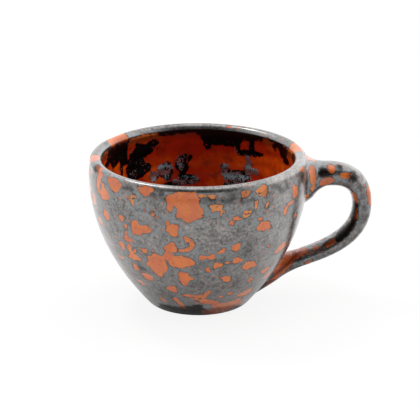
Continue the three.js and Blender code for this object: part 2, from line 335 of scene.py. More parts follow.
# The largest windows behind the cup, where nothing can be read: grouped and sized as those in front.
BACK_WINDOWS = [
    (128, 58, 4.4, 5.4, 0), (133, 62, 3.2, 3, 0), (124, 54, 1.8, 2.4, 0), (176, 31, 5.2, 3.2, 8),
    (168.5, 33.5, 3.4, 3.6, 0), (172, 37, 1.8, 2.2, 0), (205, 64, 4.6, 2.4, -6),
    (211.5, 61.5, 2.2, 3.4, 0), (232, 40, 3.4, 4.2, 0), (240, 37, 4, 1.6, -15), (150, 13, 6, 1.4, 6),
    (158, 10.5, 4, 1, -10), (252, 17, 4.6, 1.6, -12), (190, 48, 4, 1, 20), (197, 50.5, 3, 0.9, -15),
]
# Windows that cross the lip: degrees, millimetres from the lip's crest towards the inside, half sizes, tilt.
LIP_WINDOWS = [
    (-128, 1.5, 3, 3.6, 0), (-122, 0.4, 3.4, 4.2, 0), (-116.5, 2.6, 2.4, 2.4, 0), (-66, -1.5, 4, 1, 0),
    (-83.5, -0.9, 4.4, 3.3, 0), (102, 0.6, 6.5, 3.8, 0), (161, 2, 1.5, 0.8, 0), (133, 5.4, 3, 1.3, 0),
]
front_windows = RIM_WINDOWS + OCHRE_WINDOWS + BELLY_WINDOWS + HEEL_WINDOWS
print(f"{len(front_windows)} windows on the side that shows, {len(LIP_WINDOWS)} across the lip")

# %% List the dark pools and the painted shade on the outside
# Thick glaze is nearly black. The same dark ovals also paint shade: contact shade low round the foot, and
# shade in the corner by the handle's upper root. A strength from 0 to 1 takes the place of the tilt.
OUTER_POOLS_AND_SHADE = [
    (-20, 67.2, 3, 1.8, 0.6), (-37, 67.3, 4, 1.5, 0.55), (-68, 69.3, 3, 1.5, 0.8), (20, 65, 9, 3.2, 0.48),
    (44, 65.4, 9, 2.6, 0.48), (9, 64, 3, 2, 0.4), (-6, 3, 8, 3.4, 1), (-1, 5, 3, 3, 1),
    (24, 2.2, 12, 2.4, 0.7), (-28, 2.5, 8, 2.6, 0.9), (60, 50, 0.5, 1.6, 0.7), (62, 45, 0.6, 3, 0.75),
    (64, 37, 0.6, 3, 0.5), (70, 64.6, 3.4, 1.6, 0.6), (-33, 13, 8, 6, 0.3), (-27, 58.5, 5, 1.2, 0.45),
    (-37.5, 27.5, 2.6, 1.4, 0.5), (7, 50, 1, 3, 0.4), (-2, 45, 2, 1.2, 0.3), (10, 57.5, 2.2, 1, 0.4),
    (28, 38, 2.4, 1.1, 0.4), (1, 33, 3, 2, 0.35), (140, 66, 6, 2, 0.5), (185, 67, 5, 1.8, 0.6),
    (230, 66.5, 6, 1.8, 0.5), (165, 3, 9, 2.6, 0.9), (215, 3, 10, 2.8, 0.8), (200, 42, 2.4, 1.2, 0.4),
    (120, 44, 2, 1.4, 0.4), (222, 53, 2.2, 1.2, 0.4),
]
print(f"{len(OUTER_POOLS_AND_SHADE)} pools")

# %% [markdown]
# ## Inside, and where nothing can be read
# Inside, the glaze is nearly all burnt away and the deep red clay shows, with black islands left near the
# rim. Some islands have silvery places, and in other places the red is painted a brighter orange: painted
# light, where more light falls inside. All are listed as above. Behind the cup, low in the bowl and on the
# inner half that faces away, the largest shapes are placed one by one. A list of every small one would only
# be long, so ovals of the same sizes are scattered there from a seeded generator: the same cup every time.

# %% List the islands inside
INNER_ISLANDS = [
    (164.5, 65.7, 12.6, 4.8, 0), (148, 67, 7.5, 2.8, 0), (145.2, 62, 1.7, 5, 0), (154.8, 60, 1.5, 3, 0),
    (144, 58.4, 5.5, 1.5, 0), (150.5, 57.8, 3, 1.5, 0), (174.5, 61, 1.6, 3.6, 0), (176.3, 65, 2, 3.4, 0),
    (190, 68, 13, 1.7, 0), (202, 66.8, 2.4, 1.4, 0), (209, 62.6, 3.8, 1.9, 0), (207, 60.5, 3.2, 0.6, 0),
    (214, 59.3, 3.8, 2.6, 0), (217.5, 61.3, 4.6, 2.2, 0), (221, 63, 0.9, 2.2, 0), (221, 58.5, 4.6, 3, 0),
    (221.5, 51.9, 7.2, 4.9, 0), (221.5, 56.5, 5, 3.4, 0), (227.8, 51, 2, 6, 0), (240.5, 62.5, 7, 5, 0),
    (236, 66, 5, 3, 30), (231, 60.5, 2.2, 5.5, -10), (229.5, 66, 1, 2.4, -25), (235, 55.5, 1.3, 5, 0),
    (249, 64, 3, 3.2, 0), (252, 61, 4.5, 1.3, 12), (117, 64.6, 4.6, 3, 0), (113, 61, 3, 2.2, 0),
    (122, 67.2, 5, 1.1, 0), (126.5, 64.8, 1.6, 1.5, 0), (134, 68.2, 6, 1.4, 0), (147.5, 53, 1.9, 4.6, 0),
    (143, 49.8, 3.4, 1.5, 0), (154.5, 45.6, 7.4, 3.9, 0), (163.3, 49.6, 2.2, 1.8, 0),
    (156.5, 42.4, 5, 2.4, 0), (190.3, 50.6, 3.1, 5, 0), (185.3, 53.5, 0.8, 2.2, -20),
    (187, 43.4, 5.2, 2.7, 0), (196, 41.9, 4.6, 1.4, 0), (201, 48.2, 3.9, 4.1, 0),
    (209, 46.8, 2.6, 2.4, 0), (205.5, 48, 1.4, 1, 0), (60, 67, 13, 3.2, 0), (66, 62.5, 4, 3.4, 0),
    (52, 63, 2.2, 3.6, 0), (5, 66.5, 15, 3.6, 0), (-4, 61.5, 5, 3.6, 0), (12, 60.5, 2, 4.4, 0),
    (-8, 57.5, 2.4, 3, 0), (-50, 67, 11, 2.6, 0), (-45, 61.5, 5.4, 3.4, 10), (-40, 56.5, 3, 3.2, 0),
    (33, 52, 5, 2.6, 15), (-20, 48, 4.6, 2.4, -10),
]
# Silvery places on the islands, and places of the red painted a brighter orange as painted light, with a
# strength as the pools.
SILVERED = [
    (147.5, 53, 1.4, 4.4, 1), (143.5, 49.7, 3.6, 1.5, 0.9), (155, 45, 7.5, 3.2, 0.75),
    (163, 49.6, 2.2, 1.6, 0.8), (156, 58.5, 1.6, 1.6, 0.6), (191.4, 51.6, 1.2, 3, 0.85),
    (188, 43, 7, 2, 0.65), (201, 48.5, 3.4, 3, 0.75), (209.5, 46.8, 1.8, 2.2, 0.85),
    (217, 54, 3, 1.4, 0.55), (226, 50, 2, 1.8, 0.55), (250, 64, 3, 2, 0.4),
]
PAINTED_LIGHT_PLACES = [
    (122, 54, 13, 6, 0.85), (156, 53, 5, 3, 0.85), (166, 41, 5, 4, 0.8), (207, 46, 6, 5, 0.9),
    (203, 53, 6, 1.5, 0.6), (243, 55, 7, 4, 1), (232.5, 52, 2, 3, 1), (107, 65, 6, 3.4, 1),
    (129, 66, 4, 2, 0.7), (216, 66.7, 10, 1.8, 1), (217, 64, 3, 1.4, 0.6), (180, 30, 80, 6, 0.8),
    (256, 65, 4, 2.5, 0.8), (174, 51, 9, 4, 0.4), (168, 51, 6, 5, 0.5), (140, 53.5, 4, 3, 0.7),
]
print(f"{len(INNER_ISLANDS)} islands, {len(SILVERED)} silvery and {len(PAINTED_LIGHT_PLACES)} painted_bright places")

# %% Scatter the rest
# How many, between which degrees to the right of the front, between which heights, usual half width, and
# between which shares of it the half height lies.
BACK_SCATTER = {"count": 130, "span": (78, 282), "levels": (4, 68), "size": 2.1, "flatness": (0.5, 1.1)}
LOW_SCATTER = {"count": 34, "span": (0, 360), "levels": (10, 38), "size": 3.2, "flatness": (0.5, 1.0)}
NEAR_SCATTER = {"count": 34, "span": (-90, 100), "levels": (40, 68), "size": 3.6, "flatness": (0.5, 1.0)}
SIZE_SPREAD = 0.45
LARGEST = 4.4  # half width of the largest scattered oval
MOST_TILT = 40  # degrees either way
SEED = 11

chance = np.random.default_rng(SEED)


def scattered(count, span, levels, size, flatness):
    """Ovals at even chance round a span and over levels, with half widths of a size times e to a normal."""
    turn = chance.uniform(*span, count)
    level = chance.uniform(*levels, count)
    wide = np.minimum(size * np.exp(chance.normal(0, SIZE_SPREAD, count)), LARGEST)
    high = wide * chance.uniform(*flatness, count)
    tilt = chance.uniform(-MOST_TILT, MOST_TILT, count)
    return list(zip(turn, level, wide, high, tilt))


outer_windows = front_windows + BACK_WINDOWS + scattered(**BACK_SCATTER)
inner_islands = INNER_ISLANDS + scattered(**LOW_SCATTER)
inner_islands += scattered(**NEAR_SCATTER)
print(f"{len(outer_windows)} windows and {len(inner_islands)} islands in all")

# %% Measure how deep each point lies in a window
FAR = 6.0  # depths are followed this far from an edge
TINY = 1e-6
WAVER_STEP = 1.7  # radians between the ripples of one window and the next
RIPPLES = (0.11, 0.07)  # how far the three and the five lobes move an edge, as shares of the oval
POOL_EDGE = (-2.6, 1.2)  # depths between which a pool fades in


def ease(value, low, high):
    """0 below low, 1 above high, and 3t^2 - 2t^3 between them."""
    t = np.clip((value - low) / (high - low), 0, 1)
    return t * t * (3 - 2 * t)


def oval_depth(across, along, wide, high, tilt, waver):
    """Distance to an oval's edge, positive inside: (1 - q) q / |grad q|, with q the scaled radius.

    The radius is wavered by a three-lobed and a five-lobed ripple, so that no window is a plain oval.
    """
    lean = np.radians(tilt)
    u = across * np.cos(lean) + along * np.sin(lean)
    v = along * np.cos(lean) - across * np.sin(lean)
    angle = np.arctan2(v / high, u / wide)
    three, five = RIPPLES
    ripple = 1 + three * np.sin(3 * angle + waver) + five * np.sin(5 * angle - 2 * waver)
    q = np.hypot(u / wide, v / high) * ripple + TINY
    slope = np.hypot(u / wide**2, v / high**2) + TINY
    return (1 - q) * q / slope


def on_wall(ovals, rows):
    """The ovals with their heights made arc lengths, on the stretch of the profile that the rows name."""
    turn, level, wide, high, last = np.asarray(ovals, float).T
    reach = np.abs(arc_at(level + high, rows) - arc_at(level - high, rows)) / 2
    return np.column_stack([turn, arc_at(level, rows), wide, np.maximum(reach, high / 2), last])


def depth_on_wall(azimuth, arc, radius, ovals):
    """The greatest depth over a list of ovals: across is radius times azimuth, along is arc length."""
    depth = np.full(np.broadcast(azimuth, arc).shape, -FAR)
    for number, (turn, middle, wide, high, tilt) in enumerate(ovals):
        offset = (azimuth - np.radians(FRONT + turn) + np.pi) % (2 * np.pi) - np.pi
        oval = oval_depth(offset * radius, arc - middle, wide, high, tilt, WAVER_STEP * number)
        depth = np.maximum(depth, oval)
    return depth


def strengths_on_wall(azimuth, arc, radius, pools):
    """Strength of ovals such as the dark pools, the painted shade and the painted light: each one's strength,
    eased in over a few millimetres at its edge.
    """
    strongest = np.zeros(np.broadcast(azimuth, arc).shape)
    for turn, middle, wide, high, strength in pools:
        depth = depth_on_wall(azimuth, arc, radius, [(turn, middle, wide, high, 0)])
        strongest = np.maximum(strongest, strength * ease(depth, *POOL_EDGE))
    return strongest


crest_shift = np.array([0, profile_arc[crest], 0, 0, 0])
outer_ovals = np.vstack([on_wall(outer_windows, outside_rows), np.array(LIP_WINDOWS) + crest_shift])
ochre_ovals = on_wall(OCHRE_WINDOWS, outside_rows)
pool_and_shade_ovals = on_wall(OUTER_POOLS_AND_SHADE, outside_rows)
island_ovals = on_wall(inner_islands, inside_rows)
silver_ovals = on_wall(SILVERED, inside_rows)
painted_light_ovals = on_wall(PAINTED_LIGHT_PLACES, inside_rows)
print(f"{len(outer_ovals)} ovals outside, {len(island_ovals)} inside")

# %% [markdown]
# ## The handle's line
# A pulled handle is thick where it leaves the rim and thins as the wet clay is drawn down. It could be swept
# with a curve object, but the swelling at both roots needs a section that changes: so the middle line is two
# curves between straight ends, and each section is a rounded oval with its own reach up, down and sideways.
# The tail goes on growing inside the wall, so that it still widens where it runs out at the foot.

# %% Draw the strap's middle line
UPPER_ROOT_DROP = 11.9
UPPER_RISE = np.radians(15.5)  # how steeply the strap leaves the wall
UPPER_PULL = 16.2
HANDLE_REACH = 25.6  # of the middle line past the belly
OUTERMOST_DROP = 25.3  # to the middle line's outermost point
OUTERMOST_PULL_UP = 13.5
OUTERMOST_PULL_DOWN = 21.5
LOWER_ROOT_HEIGHT = 13.8
LOWER_RISE = np.radians(26)
LOWER_PULL = 15
ROOT_BITE = 20  # straight ends inside the wall, trimmed off below
RINGS = 600


def strap_line():
    """Evenly spaced points in the handle's plane, from inside the upper wall to inside the lower wall."""
    upper_level = cup_height - UPPER_ROOT_DROP
    upper = np.array([radius_at(upper_level), upper_level])
    lower = np.array([radius_at(LOWER_ROOT_HEIGHT), LOWER_ROOT_HEIGHT])
    climb = np.array([np.cos(UPPER_RISE), np.sin(UPPER_RISE)])
    leave = np.array([np.cos(LOWER_RISE), np.sin(LOWER_RISE)])
    outermost = np.array([belly_radius + HANDLE_REACH, cup_height - OUTERMOST_DROP])
    above = outermost + (0, OUTERMOST_PULL_UP)
    below = outermost - (0, OUTERMOST_PULL_DOWN)
    bend = bezier([upper, upper + UPPER_PULL * climb, above, outermost], RINGS)
    return_bend = bezier([outermost, below, lower + LOWER_PULL * leave, lower], RINGS)
    ends = [upper - ROOT_BITE * climb, lower - ROOT_BITE * leave]
    line = np.vstack([ends[:1], bend, return_bend[1:], ends[1:]])
    run = distances(line)
    even = np.linspace(0, run[-1], RINGS)
    return np.column_stack([np.interp(even, run, line[:, 0]), np.interp(even, run, line[:, 1])]), run[-1]


middle_line, strap_length = strap_line()
ring_step = strap_length / (RINGS - 1)
print(f"strap line {strap_length:.0f} mm long with its ends")

# %% Carry the section along it
THICKNESSES = {0: 11.7, 0.5: 8.2, 1: 6.8}  # by the share of the way from the upper to the lower root
WIDTHS = (13.9, 12.5)  # at the two roots
# How far the half sizes grow at a root, and the run over which that ends. The tail's lies further in.
UPPER_FLARE = {"above": 4, "below": 3.6, "side": 3, "run": 10}
LOWER_FLARE = {"above": 3.3, "side": 2.4, "run": 14.5}
TAIL_FLARE = {"below": 3.5, "run": 28, "sink": 13}
SQUARENESS = 2.4  # 2 is an ellipse, more is boxier
SIDES = 112


def boxy(value):
    """A cosine or a sine raised to 2 / squareness, with its sign kept."""
    return np.sign(value) * np.abs(value) ** (2 / SQUARENESS)


def strap_lines():
    """Lines along the strap, one for each side of its section: rings, sides, and x, y, z.

    A section reaches cos and sin of a turn, each raised to 2 / squareness, times its half sizes. The
    thickness is the parabola through three thicknesses, and flares grow with the square of the nearness.
    """
    along = directions(middle_line)
    distance = np.linspace(0, strap_length, RINGS)
    to_end = strap_length - distance - ROOT_BITE
    share = np.clip((distance - ROOT_BITE) / (strap_length - 2 * ROOT_BITE), 0, 1)
    parabola = np.polyfit(list(THICKNESSES), list(THICKNESSES.values()), 2)
    half = np.polyval(parabola, share) / 2
    upper = np.clip(1 - (distance - ROOT_BITE) / UPPER_FLARE["run"], 0, 1) ** 2
    lower = np.clip(1 - to_end / LOWER_FLARE["run"], 0, 1) ** 2
    tail = 1 - ease(to_end + TAIL_FLARE["sink"], 0, TAIL_FLARE["run"])
    inner = half + UPPER_FLARE["below"] * upper + LOWER_FLARE["above"] * lower
    outer = half + UPPER_FLARE["above"] * upper + TAIL_FLARE["below"] * tail
    side = np.interp(share, (0, 1), WIDTHS) / 2 + UPPER_FLARE["side"] * upper + LOWER_FLARE["side"] * lower
    turn = np.linspace(0, 2 * np.pi, SIDES, endpoint=False)
    inward = boxy(np.cos(turn))[None, :]
    across = inward * np.where(inward > 0, inner[:, None], outer[:, None])
    aside = side[:, None] * boxy(np.sin(turn))[None, :]
    x = middle_line[:, :1] + across * along[:, 1:]
    z = middle_line[:, 1:] - across * along[:, :1]
    return np.stack([x, aside, z], axis=-1)


lines = strap_lines()
print(f"{SIDES} lines of {RINGS} points along the strap")

# %% [markdown]
# ## Where the strap meets the wall
# The potter smooths slip into the corner with a finger, so the strap runs onto the wall without a crease.
# A boolean and a bevel would leave a rough seam. Here each line along the strap is followed to the point
# where it enters the wall, and a short curve carries it from the strap onto the wall, level with both.

# %% Find the roots
STRAP_SINK = 1.4  # how far the strap goes on inside the wall
STRAP_ROWS = 230


def along_lines(ring):
    """Points at fractional rings, one column for each side, by straight steps between neighbouring rings."""
    low = np.clip(np.floor(ring).astype(int), 0, RINGS - 2)
    part = (ring - low)[..., None]
    side = np.broadcast_to(np.arange(SIDES), ring.shape)
    return lines[low, side] * (1 - part) + lines[low + 1, side] * part


def wall_crossings():
    """For each line, the fractional rings at which it leaves the upper wall and enters the lower one."""
    gap = np.hypot(lines[..., 0], lines[..., 1]) - radius_at(lines[..., 2])
    out = gap > 0
    side = np.arange(SIDES)
    first = np.argmax(out, axis=0)
    last = RINGS - 1 - np.argmax(out[::-1], axis=0)
    upper = first - gap[first, side] / (gap[first, side] - gap[first - 1, side])
    lower = last + gap[last, side] / (gap[last, side] - gap[last + 1, side])
    return upper, lower


upper_crossing, lower_crossing = wall_crossings()
first_ring = upper_crossing - STRAP_SINK / ring_step
last_ring = lower_crossing + STRAP_SINK / ring_step
row_share = np.linspace(0, 1, STRAP_ROWS)[:, None]
strap_rows = along_lines(first_ring * (1 - row_share) + last_ring * row_share)
upper_root = along_lines(upper_crossing)
lower_root = along_lines(lower_crossing)
print(f"upper root {np.ptp(upper_root[:, 2]):.1f} mm high, lower {np.ptp(lower_root[:, 2]):.1f} mm")

# %% Draw the joins
UPPER_JOIN = {"on_strap": 4.5, "on_wall": 2.4}  # how far the smoothed slip reaches along each
LOWER_JOIN = {"on_strap": 5.0, "on_wall": 1.3}
FOOT_CLEAR = 1.0  # a join stops this far from the flat of the foot
JOIN_ROWS = 16
JOIN_BOW = 0.6  # share of the way to the wall for which a join keeps the strap's direction
JOIN_SINK = 0.9  # hidden part of the join, inside the clay
EDGE_SINK = 0.02  # the join runs out this far under the wall's surface


def wall_point(azimuth, arc, sink):
    """A point on the outside wall at an azimuth and an arc length, moved into the clay by a distance."""
    radius = np.interp(arc, profile_arc, profile[:, 0])
    height = np.interp(arc, profile_arc, profile[:, 1])
    along = directions(profile)
    lean_r = np.interp(arc, profile_arc, along[:, 1])
    lean_z = -np.interp(arc, profile_arc, along[:, 0])
    radius = radius - sink * lean_r
    return np.stack([radius * np.cos(azimuth), radius * np.sin(azimuth), height - sink * lean_z], axis=-1)


def places_on_wall(entry, reach):
    """Azimuth and arc length of a root's points, and of points further out from the root's middle."""
    turn = np.arctan2(entry[:, 1], entry[:, 0])
    arc = arc_at(entry[:, 2], outside_rows)
    radius = radius_at(entry[:, 2])
    spread = unit(np.column_stack([(turn - turn.mean()) * radius, arc - (arc.max() + arc.min()) / 2]))
    far_turn = turn + reach * spread[:, 0] / radius
    far_arc = np.clip(arc + reach * spread[:, 1], FOOT_RADIUS + FOOT_CLEAR, profile_arc[crest])
    return turn, arc, far_turn, far_arc


def join_rows(crossing, away, sizes):
    """Rows of a join: a cubic from the strap to the wall, then back through the clay.

    The cubic starts along the strap and ends along the wall, pointing away from the middle of the root.
    """
    entry = along_lines(crossing)
    start = along_lines(crossing + away * sizes["on_strap"] / ring_step)
    behind = along_lines(crossing + away * (sizes["on_strap"] / ring_step + 1))
    turn, arc, far_turn, far_arc = places_on_wall(entry, sizes["on_wall"])
    reach = np.linalg.norm(entry - start, axis=-1, keepdims=True)
    bow = start + JOIN_BOW * reach * unit(start - behind)
    before = wall_point((turn + far_turn) / 2, (arc + far_arc) / 2, EDGE_SINK)
    end = wall_point(far_turn, far_arc, EDGE_SINK)
    shown = bezier([start, bow, before, end], JOIN_ROWS)
    inner = start + JOIN_SINK * unit(start.mean(axis=0) - start)
    hidden = np.stack([wall_point(far_turn, far_arc, JOIN_SINK), wall_point(turn, arc, JOIN_SINK), inner])
    return np.concatenate([shown, hidden])


upper_join = join_rows(upper_crossing, 1, UPPER_JOIN)
lower_join = join_rows(lower_crossing, -1, LOWER_JOIN)
print(f"joins of {len(upper_join)} and {len(lower_join)} rows")

# %% [markdown]
# ## Windows on the handle
# The glaze breaks open on the strap too, along its edges and where the tail runs onto the wall. A wall can be
# unrolled, but a strap that bends in space can't. So each window here is an oval body, and clay shows where
# the strap's surface passes through it. The far half isn't seen and gets ovals from the same generator.

# %% List the windows on the handle
# Each oval: x, y and z of its middle, half length, half height and half depth, tilt in degrees.
HANDLE_WINDOWS = [
    (51.4, -6.5, 61, 2.3, 4.8, 4, 4), (51, -7, 55.8, 2.2, 1.6, 3, 0), (60.5, -6, 64, 1.7, 1.8, 3, 0),
    (66.8, -6, 60.7, 2.6, 1.7, 3, -10), (58.5, -6, 58.3, 4, 1.9, 3, 12), (54, -1, 68, 5, 1.6, 5, -10),
    (64, -2, 68.6, 3.2, 0.9, 3, 0), (78.6, -4, 50.6, 1.8, 5, 4, 8), (71.8, -4, 50.3, 1.1, 4, 3, 22),
    (72.6, -5, 42, 0.6, 3, 2, -5), (53.8, -5.2, 26, 2.3, 1.9, 4, 20), (61.2, -5.5, 27.6, 2.6, 1.3, 3, 40),
    (44, -3, 23, 7.5, 3, 9, 16), (40, -6, 18, 7, 2.2, 6, 38), (37.2, -6, 13.8, 4.5, 1.3, 5, 38),
    (33.5, -5, 10, 4.5, 1.3, 6, 44), (36, -6, 17.5, 3.5, 2.4, 5, 50), (51, -6, 18.6, 1.7, 0.6, 2.5, 26),
]
# Dark pools, with a strength after the tilt: black glaze on the strap, and painted shadow on the lower root,
# where the strap runs behind the wall. A pool above 1 is fuller up to its edge.
HANDLE_POOLS_AND_SHADE = [
    (56.6, -6, 62.4, 2.4, 1.9, 3, 20, 0.9), (58.6, -6, 61.2, 2.6, 0.8, 3, 15, 0.8),
    (64.6, -5, 64.6, 1.2, 1.4, 3, -30, 0.8), (71.7, -4, 41, 1.2, 6.5, 4, -8, 1),
    (67.4, -4, 32.6, 5.5, 1.4, 4, 48, 1.1), (60.5, -5, 28.2, 3.4, 1.5, 3, 30, 0.9),
    (70, -6, 60, 2.5, 3, 3, -40, 0.7), (69, -6, 47, 3, 8, 4, 0, 0.35), (41, -6, 18, 8, 0.7, 6, 38, 1),
    (42, -4, 11.6, 10, 1.6, 10, 33, 1), (31, -4, 6.8, 6, 2.4, 10, 44, 1),
    (40, -5, 17, 9, 4.5, 8, 36, 0.5),
]
print(f"{len(HANDLE_WINDOWS)} windows and {len(HANDLE_POOLS_AND_SHADE)} pools on the handle")

# %% Scatter the windows on its far half
FAR_COUNT = 26
FAR_SIZE = 1.9  # usual half length
FAR_SPREAD = 0.4
FAR_FLATNESS = (0.6, 1.1)
FAR_TILT = 60  # degrees either way
ROOT_ROWS = 10  # rows at each root that stay clear
EDGE_SIDES = 4  # sides beside the strap's edges that stay clear


def far_windows():
    """Ovals at even chance on the half of the strap that faces away, of a size times e to a normal."""
    rows = chance.integers(ROOT_ROWS, STRAP_ROWS - ROOT_ROWS, FAR_COUNT)
    sides = chance.integers(EDGE_SIDES, SIDES // 2 - EDGE_SIDES, FAR_COUNT)
    size = FAR_SIZE * np.exp(chance.normal(0, FAR_SPREAD, (FAR_COUNT, 1)))
    stretch = np.ones((FAR_COUNT, 3))
    stretch[:, 1] = chance.uniform(*FAR_FLATNESS, FAR_COUNT)
    tilt = chance.uniform(-FAR_TILT, FAR_TILT, FAR_COUNT)
    return np.column_stack([strap_rows[rows, sides], size * stretch, tilt])


def depth_in_handle(points, blobs):
    """As on the wall, with a third half size: (1 - q) q / |grad q|."""
    depth = np.full(points.shape[:-1], -FAR)
    for x, y, z, long, high, deep, tilt in blobs:
        lean = np.radians(tilt)
        aside = points[..., 0] - x
        across = points[..., 1] - y
        above = points[..., 2] - z
        u = aside * np.cos(lean) + above * np.sin(lean)
        v = above * np.cos(lean) - aside * np.sin(lean)
        q = np.sqrt((u / long) ** 2 + (v / high) ** 2 + (across / deep) ** 2) + TINY
        slope = np.sqrt((u / long**2) ** 2 + (v / high**2) ** 2 + (across / deep**2) ** 2) + TINY
        depth = np.maximum(depth, (1 - q) * q / slope)
    return depth


def pools_and_shade_in_handle(points):
    """Strength of the handle's dark pools and painted shadow, eased in at their edges."""
    strongest = np.zeros(points.shape[:-1])
    for *blob, strength in HANDLE_POOLS_AND_SHADE:
        strongest = np.maximum(strongest, strength * ease(depth_in_handle(points, [blob]), *POOL_EDGE))
    return strongest


handle_windows = np.vstack([np.array(HANDLE_WINDOWS), far_windows()])
print(f"{len(handle_windows)} windows on the handle in all")

# %% [markdown]
# ## The gunmetal glaze
# The glaze is almost black, with a metallic skin that mirrors the bright room as a soft grey. It is darkest
# in a thin line round each window, bluish just beyond it and cloudy elsewhere. The windows are glossy clay.
# Two materials split along faces would leave jagged edges, so all of it is one Principled shader: the stored
# depth, roughened by noise, says where metal ends and clay begins, and the colours, the roughness and a
# little relief follow from the same edge.

# %% Write the steps of a finish
MIX_COLOURS = (6, 7)  # a mix node's two colour sockets
MIX_RESULT = 2


def field(tree, name):
    """A number stored on the mesh."""
    return add(tree, "ShaderNodeAttribute", {"attribute_name": name}).outputs["Fac"]


def mottle(tree, size, detail, roughness):
    """Cloudy noise between about 0.25 and 0.75, with spots of a size in millimetres."""
    place = add(tree, "ShaderNodeTexCoord").outputs["Object"]
    sockets = {"Vector": place, "Scale": 1 / (size * MM), "Detail": detail, "Roughness": roughness}
    return add(tree, "ShaderNodeTexNoise", None, sockets).outputs["Fac"]


def step(tree, value, low, high, start=0.0, end=1.0):
    """A smooth step of a value from low to high, given as start to end."""
    sockets = {"Value": value, "From Min": low, "From Max": high, "To Min": start, "To Max": end}
    return add(tree, "ShaderNodeMapRange", {"interpolation_type": "SMOOTHSTEP"}, sockets).outputs["Result"]


def times(tree, first, second, plus=0.0):
    """First times second, plus a third value."""
    sockets = {0: first, 1: second, 2: plus}
    return add(tree, "ShaderNodeMath", {"operation": "MULTIPLY_ADD"}, sockets).outputs[0]


def opposite(tree, share):
    """One minus a share."""
    return times(tree, share, -1.0, 1.0)


def larger(tree, first, second):
    """The larger of two values."""
    return add(tree, "ShaderNodeMath", {"operation": "MAXIMUM"}, {0: first, 1: second}).outputs[0]


def blend(tree, factor, first, second):
    """First colour where the factor is 0, second where it is 1."""
    sockets = {0: factor} | dict(zip(MIX_COLOURS, (first, second)))
    return add(tree, "ShaderNodeMix", {"data_type": "RGBA"}, sockets).outputs[MIX_RESULT]


def shaken(tree, value, noise, amounts):
    """A value plus noises about zero: each noise less a half, times its amount."""
    total = times(tree, value, 1.0, -sum(amounts.values()) / 2)
    for kind, amount in amounts.items():
        total = times(tree, noise[kind], amount, total)
    return total


def empty_material(name):
    """A material with no nodes yet."""
    material = bpy.data.materials.new(name)
    material.use_nodes = True
    material.node_tree.nodes.clear()
    return material


# %% Find the windows and the pools
# A pair or four below is a smooth step: from, to, and what it gives at each end if that isn't 0 and 1.
RAGGED = {"fine": 0.8, "coarse": 3.0}  # millimetres by which noise moves an edge
EDGE_DEPTHS = (-0.1, 0.1)
SPOTS = (0.68, 0.72)  # specks of clay, at the peaks of a noise
SPOT_DEPTHS = (-4.0, -1.5)  # and only this near a window
SMEAR = {"grain": 1.2, "coarse": 2.0}  # how far noise moves the edge of a pool
SPECKLE = 1.6  # and how far the finest noise breaks up the soot inside
SOOT_EDGE = (0.3, 0.6)
POOL_FULLNESS = (0.2, 0.9, 0.4, 1.0)


def window_share(tree, stored, noise, edge):
    """1 in a window and in the specks near one, 0 on glaze."""
    near = step(tree, stored["window"], *SPOT_DEPTHS)
    spot = times(tree, step(tree, noise["speck"], *SPOTS), near)
    return larger(tree, step(tree, edge, *EDGE_DEPTHS), spot)


def soot_and_shade_share(tree, stored, noise):
    """The stored strength of the pools and of the painted shade, smeared by noise, broken up further inside,
    and stepped.
    """
    smear = shaken(tree, stored["pool_and_shade"], noise, SMEAR)
    speckle = times(tree, noise["fine"], SPECKLE, -SPECKLE / 2)
    smear = times(tree, stored["inside"], speckle, smear)
    fullness = larger(tree, step(tree, stored["pool_and_shade"], *POOL_FULLNESS), stored["inside"])
    return times(tree, step(tree, smear, *SOOT_EDGE), fullness)


# %% Colour the metal skin
DARK_GLAZE = (0.065, 0.06, 0.057, 1)
LIGHT_GLAZE = (0.36, 0.343, 0.332, 1)
BLUE_HALO = (0.185, 0.217, 0.23, 1)
INNER_GREY = (0.28, 0.42, 0.48, 1)
OUTLINE = (0.05, 0.044, 0.04, 1)
# Black of thick glaze, also used as painted shade at the foot and on the handle.
POOL_AND_SHADE = (0.02, 0.019, 0.019, 1)
INNER_SOOT = (0.006, 0.012, 0.013, 1)
MIDDLE_TONE = 0.385
SIDE_LIGHT_TONE = 0.24  # how much paler the glaze is painted on the right: painted light
MOTTLE = {"fine": 1.0, "cloud": 1.2, "grain": 1.5}  # contrast of each noise
HALO_DEPTHS = (-3.0, -0.6)
HALO_PATCHES = (0.35, 0.65, 0.75, 0.25)
OUTLINE_DEPTHS = (-0.8, -0.05)
OUTLINE_PATCHES = (0.35, 0.6, 0.5, 1.0)


def metal_skin(tree, stored, noise, edge, soot_and_shade):
    """Grey clouds, painted paler on the right as painted light, bluish and then dark towards a window, black
    in pools and in painted shade.
    """
    tone = times(tree, stored["painted_side_light"], SIDE_LIGHT_TONE, MIDDLE_TONE)
    halo = times(tree, step(tree, edge, *HALO_DEPTHS), step(tree, noise["patch"], *HALO_PATCHES))
    outline = times(tree, step(tree, edge, *OUTLINE_DEPTHS), step(tree, noise["patch"], *OUTLINE_PATCHES))
    skin = blend(tree, shaken(tree, tone, noise, MOTTLE), DARK_GLAZE, LIGHT_GLAZE)
    skin = blend(tree, halo, skin, BLUE_HALO)
    skin = blend(tree, outline, skin, OUTLINE)
    skin = blend(tree, stored["inside"], skin, INNER_GREY)
    # Black in pools and in the painted shade.
    return blend(tree, soot_and_shade, skin, blend(tree, stored["inside"], POOL_AND_SHADE, INNER_SOOT))


# %% Colour the clay
TERRACOTTA = (0.71, 0.178, 0.029, 1)
RUST = (0.61, 0.134, 0.036, 1)
OCHRE = (0.68, 0.25, 0.055, 1)
DEEP_RED = (0.41, 0.02, 0.001, 1)
# A brighter orange red that paints light where more light falls inside.
PAINTED_LIT_RED = (0.7, 0.1, 0.002, 1)
